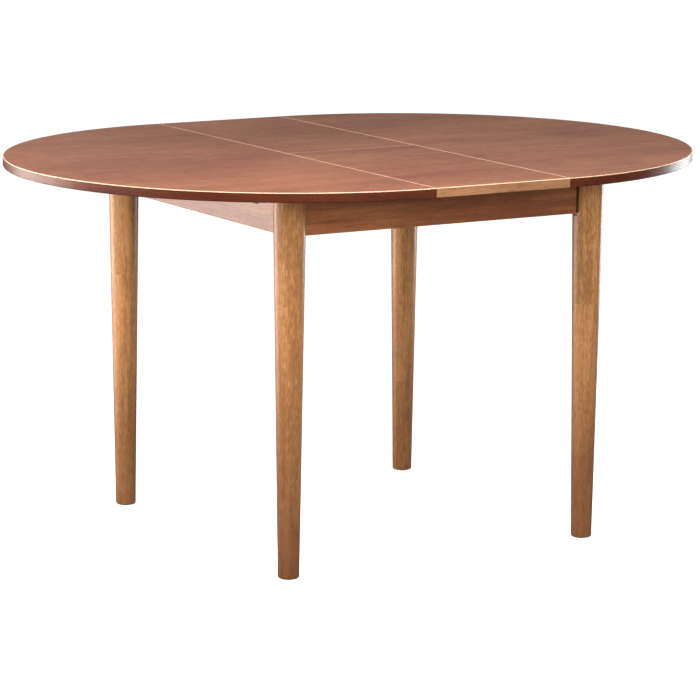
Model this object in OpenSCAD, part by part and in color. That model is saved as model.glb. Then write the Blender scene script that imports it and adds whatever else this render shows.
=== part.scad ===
// Extending round dining table: two half discs on steel slides, a butterfly leaf that folds and
// turns down between the rails, and four round tapered legs. Shown open, with the leaf in place.
// X is the direction in which the top opens, Z is up, and the origin is on the floor at the centre.

/* [Top] */
// Height of the top surface above the floor
table_h = 750; // [650:5:900]
// Diameter of the round top when it is closed
top_d = 1100; // [900:10:1320]
// Thickness of the top panels
top_t = 18; // [15:0.5:28]
// Width of the leaf, along the opening direction
leaf_w = 290; // [220:5:350]
// Gap between the leaf and each half of the top
seam_gap = 0.4; // [0.3:0.1:1.5]
// Gap between the two halves of the leaf where they meet
fold_gap = 0.4; // [0.3:0.1:1.5]
// Thickness of the band glued round the edge of the top
band_t = 2; // [1:0.5:5]
// Radius of the rounded arrises of the band
arris_r = 1.4; // [0.5:0.1:3]
// Bevel on the straight edges where the panels meet
seam_ease = 0.7; // [0.3:0.1:1.5]

/* [Frame] */
// Half the distance between leg centres, along the opening direction
leg_x = 330; // [300:1:400]
// Half the distance between leg centres, across it
leg_y = 339; // [300:1:410]
// Radius of the leg at its top
leg_top_r = 31.6; // [26:0.1:38]
// Radius of the leg at its foot
leg_foot_r = 20.3; // [16:0.1:25]
// Rounding of the leg's lower edge
leg_foot_round = 3.5; // [1:0.5:6]
// Depth of the two flats at the leg's top that the rails butt against
flat_depth = 4.3; // [3:0.1:6]
// Radius of the cutter that ends each flat
flat_cutter_r = 8; // [7:0.5:12]
// Depth of the flat that the corner block bears on
block_flat_depth = 3.1; // [2:0.1:3.5]
// Height of the rails
rail_h = 86; // [78:1:110]
// Thickness of the rails and cross bearers
rail_t = 20; // [16:1:26]
// How far the rails stand outside the leg's axis
rail_proud = 2; // [0:0.5:8]
// Rounding of the rails' lower edges
rail_round = 1.6; // [0.5:0.1:4]
// Gap between the frame and the underside of the top
top_lift = 0.5; // [0.3:0.1:2]
// Thickness of the corner blocks
block_t = 32; // [24:1:38]

/* [Slides] */
// Distance of each slide from the table's middle line
slide_y = 203; // [190:1:220]
// Width of the slide channel
channel_w = 30; // [27:0.5:36]
// Height of the slide channel
channel_h = 37; // [34:0.5:42]
// Wall of the slide channel
channel_wall = 2; // [1.5:0.5:2.5]
// Space on each side of a channel in its notch
notch_side = 5; // [4.5:0.5:8]
// Running clearance inside the slides
slide_gap = 0.5; // [0.3:0.1:1]
// How far each half can be pulled out past the open position
over_travel = 20; // [10:1:26]
// Length of each runner
runner_len = 308; // [250:1:320]

/* [Leaf pivot] */
// Depth of the pivot below the underside of the leaf
pivot_drop = 23; // [21:0.5:24]
// Radius of the pivot pin
pivot_r = 5; // [4:0.5:6]
// Running clearance of the pivot pin in its plate
pin_gap = 0.05; // [0.02:0.01:0.1]
// Height of the fold's axis above the top surface
fold_lift = 0.4; // [0.3:0.1:1]

/* [Hidden] */
$fn = 96;
eps = 1;
root2 = sqrt(2);
fit = 0.05;
bend_steps = 4;

// Colours
leg_wood = [0.72, 0.5, 0.3];
rail_wood = [0.5, 0.3, 0.18];
inner_wood = [0.8, 0.66, 0.48];
veneer = [0.6, 0.38, 0.27];
dark_band = [0.42, 0.17, 0.11];
light_edge = [0.78, 0.6, 0.42];
zinc = [0.75, 0.75, 0.77];
black_steel = [0.12, 0.12, 0.13];
nylon = [0.85, 0.84, 0.8];
brass = [0.75, 0.6, 0.32];

// Heights
top_z = table_h - top_t;
frame_z = top_z - top_lift;
rail_z = frame_z - rail_h;
rail_mid = rail_z + rail_h / 2;

// Top
disc_r = top_d / 2;
half_x = leaf_w / 2 + seam_gap;

// Legs
leg_flat = leg_top_r - flat_depth;
block_flat = leg_top_r - block_flat_depth;

// Rails
rail_out_x = leg_x + rail_proud;
rail_in_x = rail_out_x - rail_t;
rail_mid_x = rail_out_x - rail_t / 2;
rail_end_x = leg_x - leg_flat;
rail_out_y = leg_y + rail_proud;
rail_in_y = rail_out_y - rail_t;
rail_end_y = leg_y - leg_flat;

// Runners' inner ends and stops
runner_set_back = 2;
runner_in = leaf_w / 2 + runner_set_back;
stop_t = 3;
stop_w_share = 0.5;
stop_slack = 1;

// Cross bearers
bearer_in = runner_in + stop_t + over_travel + stop_slack;
bearer_out = bearer_in + rail_t;
bearer_mid = bearer_in + rail_t / 2;
dowel_r = 4;
dowel_in_rail = 12;
dowel_in_bearer = 18;
dowel_rise = 20;

// Corner blocks: in the front left corner their faces are the lines x + y = constant
block_near = block_flat * root2 - leg_x - leg_y;
block_far = block_near + block_t * root2;
block_margin = 6;
block_h = rail_h - 2 * block_margin;
bolt_r = 4;
bolt_rise = 20;
bolt_depth = 24;
bolt_tail = 3;
bolt_bore = 4 * block_t;
washer_t = 1.6;
washer_r = 8;
nut_h = 6.5;
nut_r = 7.5;

// Wood screws of the corner blocks
screw_r = 2;
screw_head_r = 3.8;
screw_head_h = 2.5;
screw_head_ease = 1;
screw_point = 3;
counterbore_r = screw_head_r + 0.6;
counterbore_h = 2 * block_t;
block_screw_seat = 12;
block_screw_len = 26;
block_screw_rises = [8, 31];

// Foot glides
glide_t = 2;
glide_r = 13;
glide_spike = 17;

// Slides
channel_drop = 3;
channel_top = frame_z - channel_drop;
channel_z = channel_top - channel_h;
channel_set_back = 1;
channel_end = rail_out_x - channel_set_back;
cavity_w = channel_w - 2 * channel_wall;
channel_screw_len = 20;
channel_head_r = 4;
notch_w = channel_w + 2 * notch_side;
notch_corner = 3;
foot_w = cavity_w - 2 * slide_gap;
foot_h = 18;
foot_wall = 2;
foot_top = channel_top - channel_wall - slide_gap;
neck_w = 12;
slot_w = neck_w + 4 * slide_gap;
flange_w = notch_w - 2;
flange_t = 2.5;
liner_gap = 0.3;
liner_end = 2;
stop_w = foot_w + (channel_w - foot_w) * stop_w_share;
runner_screw_xs = [25, 110, 200, 285];
runner_screw_margin = 3.4;
runner_screw_v = flange_w / 2 - runner_screw_margin;

// Small countersunk screws
csk_r = 3;
csk_h = 1.8;
csk_shank = 1.5;
csk_len = 13;

// Leaf pivot
pivot_z = top_z - pivot_drop;
plate_t = 3;
plate_set_back = 3;
plate_out = leaf_w / 2 - plate_set_back;
plate_in = plate_out - plate_t;
plate_half = 22;
plate_edge_h = 5;
eye_r = 14;
flange_len = 40;
plate_screw_xs = [14, 30];
plate_screw_y = 13;
bracket_t = 3;
bracket_half = 30;
bracket_gap = 16.5;
pivot_y = slide_y - flange_w / 2 - bracket_gap - bracket_half;
bracket_rise = 21;
bracket_screw_y = 20;
shoulder_r = 8;
side_gap = 0.4;
pin_tail = 9;
pin_end = 2;
ring_t = 2;
ring_r = 9;

// Rests for the stored leaf
rest_gap = 0.5;
rest_z = 2 * pivot_z - table_h - 2 * fold_lift - top_t - rest_gap;
rest_y = 200;
rest_half = 20;
rest_t = 2.5;
rest_reach = 15;
rest_h = 32;
rest_screw_y = 12;
rest_screw_rise = 19;

// Concealed hinges
barrel_r = 6;
barrel_len = 20;
barrel_xs = [-100, 0, 100];

// Points of an arc about [cx, cy] from angle a0 to a1
function arc(cx, cy, r, a0, a1, n = 8) =
    [for (i = [0:n]) let (a = a0 + (a1 - a0) * i / n) [cx + r * cos(a), cy + r * sin(a)]];

// Moves a shape of the front left corner to the corner that sx and sy name
module flip(sx, sy) {
    mirror([sx > 0 ? 1 : 0, 0, 0]) mirror([0, sy > 0 ? 1 : 0, 0]) children();
}

module four_corners() {
    for (sx = [-1, 1], sy = [-1, 1]) flip(sx, sy) children();
}

module two_sides() {
    for (sx = [-1, 1]) flip(sx, -1) children();
}

// Extrudes a Y-Z outline along X, from x0 to x1
module along_x(x0, x1) {
    translate([x0, 0, 0]) rotate([90, 0, 90]) linear_extrude(x1 - x0) children();
}

// Flat-headed screw along +Z, its head's face at z = 0
module flat_screw(head, head_h, shank, len) {
    rotate_extrude() polygon([[0, 0], [head, 0], [shank, head_h], [shank, len - screw_point], [0, len]]);
}

// Hole for a flat-headed screw
module flat_screw_hole(head, head_h, shank, len) {
    flat_screw(head + fit, head_h + fit, shank + fit, len + fit);
    translate([0, 0, -eps]) cylinder(r = head + fit, h = eps);
}

// Round-headed screw along +Z, seated at z = 0
module round_screw() {
    rotate_extrude() polygon([
        [0, -screw_head_h], [screw_head_r - screw_head_ease, -screw_head_h],
        [screw_head_r, screw_head_ease - screw_head_h], [screw_head_r, 0], [screw_r, 0],
        [screw_r, block_screw_len - screw_point], [0, block_screw_len]]);
}

// Hole for it: the shank's bore, and a counterbore that lets the head in
module round_screw_hole() {
    cylinder(r = screw_r + fit, h = block_screw_len + fit);
    mirror([0, 0, 1]) cylinder(r = counterbore_r, h = counterbore_h);
}

// ---- places of the fasteners, in the front left corner ----

// Hanger bolts: +Z runs from the leg's axis towards the middle of the table
module at_bolts() {
    for (rise = [-bolt_rise, bolt_rise])
        translate([-leg_x, -leg_y, rail_mid + rise]) rotate([0, 0, 45]) rotate([0, 90, 0]) children();
}

// Screws from the corner block into the front rail
module at_front_screws() {
    x = (-rail_end_x + block_far + rail_in_y) / 2;
    for (rise = block_screw_rises)
        translate([x, block_screw_seat - rail_in_y, rail_mid - rise]) rotate([90, 0, 0]) children();
}

// Screws from the corner block into the side rail
module at_side_screws() {
    y = (-rail_end_y + block_far + rail_in_x) / 2;
    for (rise = block_screw_rises)
        translate([block_screw_seat - rail_in_x, y, rail_mid + rise]) rotate([0, -90, 0]) children();
}

module at_dowels() {
    for (rise = [-dowel_rise, dowel_rise])
        translate([-bearer_mid, -rail_in_y - dowel_in_rail, rail_mid + rise]) rotate([-90, 0, 0]) children();
}

module at_channel_screws(x) {
    translate([-x, -slide_y, channel_z + channel_wall]) mirror([0, 0, 1]) children();
}

module at_runner_screws() {
    for (i = [0:len(runner_screw_xs) - 1])
        translate([-runner_in - runner_screw_xs[i], -slide_y + (i % 2 == 0 ? 1 : -1) * runner_screw_v,
            top_z - flange_t]) children();
}

module at_bracket_screws() {
    for (dy = [-bracket_screw_y, bracket_screw_y])
        translate([bracket_t - bearer_in, dy - pivot_y, pivot_z]) rotate([0, -90, 0]) children();
}

module at_rest_screws() {
    for (dy = [-rest_screw_y, rest_screw_y])
        translate([rest_t - bearer_in, rest_y + dy, rest_z + rest_screw_rise]) rotate([0, -90, 0]) children();
}

module at_plate_screws() {
    for (dx = plate_screw_xs, dy = [-plate_screw_y, plate_screw_y])
        translate([dx - plate_out, dy - pivot_y, top_z - flange_t]) children();
}

module at_barrels() {
    for (x = barrel_xs)
        translate([x, -fold_gap / 2, table_h - top_t / 2]) rotate([90, 0, 0]) children();
}

// ---- legs ----

// Cuts one flat, facing +X, whose lower end is hollowed by the cutter
module flat_cut() {
    side = leg_top_r + eps;
    translate([leg_flat, -side, rail_z]) cube([side, 2 * side, rail_h + eps]);
    translate([leg_flat + flat_cutter_r, side, rail_z]) rotate([90, 0, 0])
        cylinder(r = flat_cutter_r, h = 2 * side);
}

module leg() {
    outline = concat(
        [[0, glide_t]],
        arc(leg_foot_r - leg_foot_round, glide_t + leg_foot_round, leg_foot_round, -90, 0),
        [[leg_top_r, frame_z], [0, frame_z]]);
    color(leg_wood) difference() {
        translate([-leg_x, -leg_y, 0]) difference() {
            rotate_extrude() polygon(outline);
            flat_cut();
            mirror([1, -1, 0]) flat_cut();
            rotate([0, 0, 45]) translate([block_flat, -leg_top_r, rail_z + block_margin])
                cube([leg_top_r, 2 * leg_top_r, rail_h]);
            cylinder(r = screw_r + fit, h = glide_t + glide_spike + fit);
        }
        at_bolts() translate([0, 0, block_flat - bolt_depth])
            cylinder(r = bolt_r + fit, h = bolt_depth + eps);
    }
}

module foot_glides() {
    color(nylon) four_corners() translate([-leg_x, -leg_y, 0]) {
        cylinder(r = glide_r, h = glide_t);
        cylinder(r = screw_r, h = glide_t + glide_spike);
    }
}

// ---- corner joints ----

module corner_block() {
    color(inner_wood) difference() {
        translate([0, 0, rail_z + block_margin]) linear_extrude(block_h) polygon([
            [-rail_in_x, block_near + rail_in_x], [block_near + rail_in_y, -rail_in_y],
            [block_far + rail_in_y, -rail_in_y], [-rail_in_x, block_far + rail_in_x]]);
        at_bolts() cylinder(r = bolt_r + fit, h = bolt_bore);
        at_front_screws() round_screw_hole();
        at_side_screws() round_screw_hole();
    }
}

module hanger_bolts() {
    color(zinc) four_corners() at_bolts() translate([0, 0, block_flat - bolt_depth + fit])
        cylinder(r = bolt_r, h = bolt_depth + block_t + washer_t + nut_h + bolt_tail);
}

module bolt_washers() {
    color(zinc) four_corners() at_bolts() translate([0, 0, block_flat + block_t]) difference() {
        cylinder(r = washer_r, h = washer_t);
        translate([0, 0, -eps]) cylinder(r = bolt_r + fit, h = washer_t + 2 * eps);
    }
}

module bolt_nuts() {
    color(zinc) four_corners() at_bolts() translate([0, 0, block_flat + block_t + washer_t]) difference() {
        cylinder(r = nut_r, h = nut_h, $fn = 6);
        translate([0, 0, -eps]) cylinder(r = bolt_r + fit, h = nut_h + 2 * eps);
    }
}

module block_screws() {
    color(zinc) four_corners() {
        at_front_screws() round_screw();
        at_side_screws() round_screw();
    }
}

// ---- rails and bearers ----

// Bar with rounded lower edges, centred along X, from y = 0 to rail_t
module rail_bar(length) {
    section = concat(
        arc(rail_round, rail_round, rail_round, 180, 270, bend_steps),
        arc(rail_t - rail_round, rail_round, rail_round, 270, 360, bend_steps),
        [[rail_t, rail_h], [0, rail_h]]);
    translate([0, 0, rail_z]) along_x(-length / 2, length / 2) polygon(section);
}

// The two notches that let the slides through a piece between x0 and x1
module slide_notches(x0, x1) {
    depth = frame_z - channel_z + eps;
    half = notch_w / 2;
    outline = concat(
        arc(notch_corner - half, notch_corner, notch_corner, 180, 270, bend_steps),
        arc(half - notch_corner, notch_corner, notch_corner, 270, 360, bend_steps),
        [[half, depth], [-half, depth]]);
    for (sy = [-1, 1]) translate([0, sy * slide_y, channel_z]) along_x(x0 - eps, x1 + eps) polygon(outline);
}

module rail_front() {
    color(rail_wood) difference() {
        translate([0, -rail_out_y, 0]) rail_bar(2 * rail_end_x);
        two_sides() {
            at_front_screws() cylinder(r = screw_r + fit, h = block_screw_len + fit);
            at_dowels() cylinder(r = dowel_r + fit, h = dowel_in_rail + eps);
        }
    }
}

module rail_left() {
    color(rail_wood) difference() {
        translate([-rail_in_x, 0, 0]) rotate([0, 0, 90]) rail_bar(2 * rail_end_y);
        slide_notches(-rail_out_x, -rail_in_x);
        for (sy = [-1, 1]) flip(-1, sy) {
            at_side_screws() cylinder(r = screw_r + fit, h = block_screw_len + fit);
            at_channel_screws(rail_mid_x) cylinder(r = screw_r + fit, h = channel_screw_len + fit);
        }
    }
}

module bearer_left() {
    color(inner_wood) difference() {
        translate([-bearer_in, 0, 0]) rotate([0, 0, 90]) rail_bar(2 * rail_in_y);
        slide_notches(-bearer_out, -bearer_in);
        for (sy = [-1, 1]) flip(-1, sy) {
            at_dowels() cylinder(r = dowel_r + fit, h = dowel_in_rail + dowel_in_bearer + fit);
            at_channel_screws(bearer_mid) cylinder(r = screw_r + fit, h = channel_screw_len + fit);
        }
        at_bracket_screws() cylinder(r = csk_shank + fit, h = csk_len + fit);
        at_rest_screws() cylinder(r = csk_shank + fit, h = csk_len + fit);
        translate([-bearer_in, -pivot_y, pivot_z]) rotate([0, -90, 0])
            translate([0, 0, -eps]) cylinder(r = pivot_r + fit, h = pin_tail - bracket_t + eps + fit);
    }
}

module bearer_dowels() {
    color(inner_wood) four_corners() at_dowels() translate([0, 0, fit])
        cylinder(r = dowel_r, h = dowel_in_rail + dowel_in_bearer - fit);
}

// ---- slides ----

// Channel on the front left: a box section with a slot along its top
module channel() {
    outer = channel_w / 2;
    inner = cavity_w / 2;
    slot = slot_w / 2;
    lip = channel_h - channel_wall;
    outline = [
        [-outer, 0], [outer, 0], [outer, channel_h], [slot, channel_h], [slot, lip], [inner, lip],
        [inner, channel_wall], [-inner, channel_wall], [-inner, lip], [-slot, lip], [-slot, channel_h],
        [-outer, channel_h]];
    color(black_steel) difference() {
        translate([0, -slide_y, channel_z]) along_x(-channel_end, -bearer_in) polygon(outline);
        for (x = [rail_mid_x, bearer_mid]) at_channel_screws(x)
            flat_screw_hole(channel_head_r, channel_wall, screw_r, channel_screw_len);
    }
}

module channel_screws() {
    color(zinc) four_corners() for (x = [rail_mid_x, bearer_mid]) at_channel_screws(x)
        flat_screw(channel_head_r, channel_wall, screw_r, channel_screw_len);
}

// Nylon liner that the runner's foot slides on
module slide_liners() {
    bottom = channel_z + channel_wall;
    top = foot_top - foot_h - liner_gap;
    color(nylon) four_corners()
        translate([liner_end - rail_in_x, -slide_y - cavity_w / 2 + fit, bottom])
            cube([rail_in_x - bearer_out - 2 * liner_end, cavity_w - 2 * fit, top - bottom]);
}

// Runner on the front left: hollow foot in the channel, neck through its slot, flange under the top
module runner() {
    color(black_steel) difference() {
        union() {
            translate([0, -slide_y, 0]) along_x(-runner_in - runner_len, -runner_in) difference() {
                union() {
                    translate([-foot_w / 2, foot_top - foot_h]) square([foot_w, foot_h]);
                    translate([-neck_w / 2, foot_top - eps]) square([neck_w, top_z - foot_top]);
                    translate([-flange_w / 2, top_z - flange_t]) square([flange_w, flange_t]);
                }
                translate([foot_wall - foot_w / 2, foot_top - foot_h + foot_wall])
                    square([foot_w - 2 * foot_wall, foot_h - 2 * foot_wall]);
            }
            translate([-runner_in - stop_t, -slide_y - stop_w / 2, channel_z + channel_wall])
                cube([stop_t, stop_w, foot_top - channel_z - channel_wall]);
        }
        at_runner_screws() flat_screw_hole(csk_r, csk_h, csk_shank, csk_len);
    }
}

module runner_screws() {
    color(zinc) for (sy = [-1, 1]) flip(-1, sy) at_runner_screws()
        flat_screw(csk_r, csk_h, csk_shank, csk_len);
}

// ---- top ----

// Section of the edge band: its outer arrises are rounded
module band_section() {
    r = min(arris_r, band_t);
    polygon(concat(
        [[0, 0]], arc(band_t - r, r, r, -90, 0), arc(band_t - r, top_t - r, r, 0, 90), [[0, top_t]]));
}

// Bevel along Y on the upper edge at x = 0 of a piece that lies on the side x < 0
module seam_bevel() {
    translate([0, disc_r + eps, table_h]) rotate([90, 0, 0]) linear_extrude(2 * (disc_r + eps))
        polygon([[-seam_ease, 0], [0, -seam_ease], [eps, -seam_ease], [eps, eps], [-seam_ease, eps]]);
}

module top_panel() {
    color(veneer) difference() {
        translate([-half_x, 0, top_z]) rotate_extrude(angle = 180, start = 90)
            square([disc_r - band_t, top_t]);
        translate([-half_x, 0, 0]) seam_bevel();
        for (sy = [-1, 1]) flip(-1, sy) at_runner_screws()
            cylinder(r = csk_shank + fit, h = csk_len + fit);
    }
}

module top_band() {
    color(dark_band) difference() {
        translate([-half_x, 0, top_z]) rotate_extrude(angle = 180, start = 90)
            translate([disc_r - band_t, 0]) band_section();
        translate([-half_x, 0, 0]) seam_bevel();
    }
}

// ---- leaf ----

// Bevels on the leaf's two long edges
module leaf_bevels() {
    translate([leaf_w / 2, 0, 0]) seam_bevel();
    mirror([1, 0, 0]) translate([leaf_w / 2, 0, 0]) seam_bevel();
}

module leaf_panel() {
    length = disc_r - band_t - fold_gap / 2;
    color(veneer) difference() {
        translate([-leaf_w / 2, -fold_gap / 2 - length, top_z]) cube([leaf_w, length, top_t]);
        leaf_bevels();
        translate([0, -fold_gap / 2, 0]) rotate([0, 0, 90]) seam_bevel();
        at_barrels() translate([0, 0, -eps]) cylinder(r = barrel_r + fit, h = barrel_len + eps + fit);
    }
}

module leaf_front_panel() {
    color(veneer) difference() {
        leaf_panel();
        two_sides() at_plate_screws() cylinder(r = csk_shank + fit, h = csk_len + fit);
    }
}

module leaf_edge() {
    color(light_edge) difference() {
        translate([0, band_t - disc_r, top_z]) along_x(-leaf_w / 2, leaf_w / 2) mirror([1, 0]) band_section();
        leaf_bevels();
    }
}

module hinge_barrels() {
    color(brass) at_barrels() cylinder(r = barrel_r, h = barrel_len);
}

// ---- leaf pivot ----

module pivot_plate() {
    color(black_steel) difference() {
        union() {
            translate([0, -pivot_y, pivot_z]) along_x(-plate_out, -plate_in)
                polygon([
                    [-eye_r, 0], [eye_r, 0], [plate_half, pivot_drop - plate_edge_h],
                    [plate_half, pivot_drop], [-plate_half, pivot_drop],
                    [-plate_half, pivot_drop - plate_edge_h]]);
            translate([-plate_out, -pivot_y, pivot_z]) rotate([0, 90, 0]) cylinder(r = eye_r, h = plate_t);
            translate([-plate_out, -pivot_y - plate_half, top_z - flange_t])
                cube([flange_len, 2 * plate_half, flange_t]);
        }
        translate([-plate_out - eps, -pivot_y, pivot_z]) rotate([0, 90, 0])
            cylinder(r = pivot_r + pin_gap, h = plate_t + 2 * eps);
        at_plate_screws() flat_screw_hole(csk_r, csk_h, csk_shank, csk_len);
    }
}

module plate_screws() {
    color(zinc) two_sides() at_plate_screws() flat_screw(csk_r, csk_h, csk_shank, csk_len);
}

module pivot_bracket() {
    color(black_steel) difference() {
        translate([-bearer_in, -pivot_y - bracket_half, pivot_z - bracket_rise])
            cube([bracket_t, 2 * bracket_half, 2 * bracket_rise]);
        translate([-bearer_in - eps, -pivot_y, pivot_z]) rotate([0, 90, 0])
            cylinder(r = pivot_r + fit, h = bracket_t + 2 * eps);
        at_bracket_screws() flat_screw_hole(csk_r, csk_h, csk_shank, csk_len);
    }
}

module bracket_screws() {
    color(zinc) two_sides() at_bracket_screws() flat_screw(csk_r, csk_h, csk_shank, csk_len);
}

// Stepped pin: tail in the bracket and bearer, shoulder across the bay, journal in the plate
module pivot_pins() {
    shoulder = bearer_in - bracket_t - plate_out - side_gap;
    journal = side_gap + plate_t + side_gap + ring_t + pin_end;
    color(zinc) two_sides()
        translate([-bearer_in + bracket_t - pin_tail, -pivot_y, pivot_z]) rotate([0, 90, 0]) {
            cylinder(r = pivot_r, h = pin_tail + shoulder + journal);
            translate([0, 0, pin_tail]) cylinder(r = shoulder_r, h = shoulder);
        }
}

module pivot_rings() {
    color(zinc) two_sides()
        translate([-plate_in + side_gap, -pivot_y, pivot_z]) rotate([0, 90, 0]) difference() {
            cylinder(r = ring_r, h = ring_t);
            translate([0, 0, -eps]) cylinder(r = pivot_r + fit, h = ring_t + 2 * eps);
        }
}

// ---- rests for the stored leaf ----

module leaf_rest() {
    color(black_steel) difference() {
        union() {
            translate([-bearer_in, rest_y - rest_half, rest_z - rest_t])
                cube([bearer_in - leaf_w / 2 + rest_reach, 2 * rest_half, rest_t]);
            translate([-bearer_in, rest_y - rest_half, rest_z - rest_t])
                cube([rest_t, 2 * rest_half, rest_h + rest_t]);
        }
        at_rest_screws() flat_screw_hole(csk_r, csk_h, csk_shank, csk_len);
    }
}

module rest_screws() {
    color(zinc) two_sides() at_rest_screws() flat_screw(csk_r, csk_h, csk_shank, csk_len);
}

leg();  // leg_front_left
flip(1, -1) leg();  // leg_front_right
flip(-1, 1) leg();  // leg_rear_left
flip(1, 1) leg();  // leg_rear_right
rail_front();
flip(-1, 1) rail_front();  // rail_rear
rail_left();
flip(1, -1) rail_left();  // rail_right
corner_block();  // corner_block_front_left
flip(1, -1) corner_block();  // corner_block_front_right
flip(-1, 1) corner_block();  // corner_block_rear_left
flip(1, 1) corner_block();  // corner_block_rear_right
hanger_bolts();
bolt_washers();
bolt_nuts();
block_screws();
foot_glides();
bearer_left();
flip(1, -1) bearer_left();  // bearer_right
bearer_dowels();
channel();  // channel_front_left
flip(1, -1) channel();  // channel_front_right
flip(-1, 1) channel();  // channel_rear_left
flip(1, 1) channel();  // channel_rear_right
slide_liners();
channel_screws();
pivot_bracket();  // pivot_bracket_left
flip(1, -1) pivot_bracket();  // pivot_bracket_right
bracket_screws();
pivot_pins();
pivot_rings();
leaf_rest();  // leaf_rest_left
flip(1, -1) leaf_rest();  // leaf_rest_right
rest_screws();
top_panel();  // top_left_panel
top_band();  // top_left_band
runner();  // runner_left_front
flip(-1, 1) runner();  // runner_left_rear
runner_screws();  // runner_left_screws
flip(1, -1) top_panel();  // top_right_panel
flip(1, -1) top_band();  // top_right_band
flip(1, -1) runner();  // runner_right_front
flip(1, 1) runner();  // runner_right_rear
flip(1, -1) runner_screws();  // runner_right_screws
leaf_front_panel();
leaf_edge();  // leaf_front_edge
pivot_plate();  // pivot_plate_left
flip(1, -1) pivot_plate();  // pivot_plate_right
plate_screws();
hinge_barrels();  // hinge_barrels_front
flip(-1, 1) leaf_panel();  // leaf_rear_panel
flip(-1, 1) leaf_edge();  // leaf_rear_edge
flip(-1, 1) hinge_barrels();  // hinge_barrels_rear
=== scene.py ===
import math

import bmesh
import bpy
import numpy as np
from bpy.props import FloatProperty, FloatVectorProperty, IntProperty, PointerProperty
from mathutils import Matrix, Vector


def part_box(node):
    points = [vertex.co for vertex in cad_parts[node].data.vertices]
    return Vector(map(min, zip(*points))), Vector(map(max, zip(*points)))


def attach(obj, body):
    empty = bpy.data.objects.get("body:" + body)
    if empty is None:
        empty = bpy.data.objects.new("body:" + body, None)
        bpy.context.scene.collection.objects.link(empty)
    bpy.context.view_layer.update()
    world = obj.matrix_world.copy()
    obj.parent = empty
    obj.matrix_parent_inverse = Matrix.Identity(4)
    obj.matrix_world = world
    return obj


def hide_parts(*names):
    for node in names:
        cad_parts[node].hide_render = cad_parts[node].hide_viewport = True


bl_info = {
    "name": "Extending round table",
    "version": (1, 0, 0),
    "blender": (4, 5, 0),
    "location": "3D View > Sidebar > Table",
    "description": "Finishes and fine pieces of an extending round table with a butterfly leaf",
    "category": "Object",
}

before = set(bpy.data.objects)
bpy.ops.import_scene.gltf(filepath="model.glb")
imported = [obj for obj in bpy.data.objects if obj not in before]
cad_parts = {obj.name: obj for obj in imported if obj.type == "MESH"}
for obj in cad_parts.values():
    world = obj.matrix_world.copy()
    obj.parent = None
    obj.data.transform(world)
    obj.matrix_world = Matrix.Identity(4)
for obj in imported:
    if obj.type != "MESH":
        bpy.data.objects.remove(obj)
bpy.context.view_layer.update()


def low_high(node):
    """A node's lowest and highest corners as two arrays."""
    low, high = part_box(node)
    return np.array(low), np.array(high)


# ---- sizes of the frame that the pieces are built on, in metres ----

LEG_LOW, LEG_HIGH = low_high("leg_front_left")
LEG_TOP_R = (LEG_HIGH[0] - LEG_LOW[0]) / 2
LEG_X, LEG_Y = -(LEG_LOW[0] + LEG_TOP_R), -(LEG_LOW[1] + LEG_TOP_R)
RAIL_LOW, RAIL_HIGH = low_high("rail_front")
RAIL_Z, FRAME_Z = RAIL_LOW[2], RAIL_HIGH[2]
RAIL_MID = (RAIL_Z + FRAME_Z) / 2
LEG_FLAT = LEG_X - RAIL_HIGH[0]
TOP_LOW, TOP_HIGH = low_high("top_left_band")
DISC_R = TOP_HIGH[1]
HALF_X = -TOP_HIGH[0]
TOP_Z, TABLE_H = TOP_LOW[2], TOP_HIGH[2]
GLIDE_T = LEG_LOW[2]

# Hanger bolts, their washers and their nuts
BOLT_R, BOLT_LENGTH, BOLT_IN_LEG, THREAD_START = 0.004, 0.06705, 0.02395, 0.054
WASHER_R, WASHER_T = 0.008, 0.0016
NUT_R, NUT_T = 0.0075, 0.0065
BORE_R = BOLT_R + 0.00005
EASE = 0.0002


# ---- sizes and colours that a user may change ----

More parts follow.
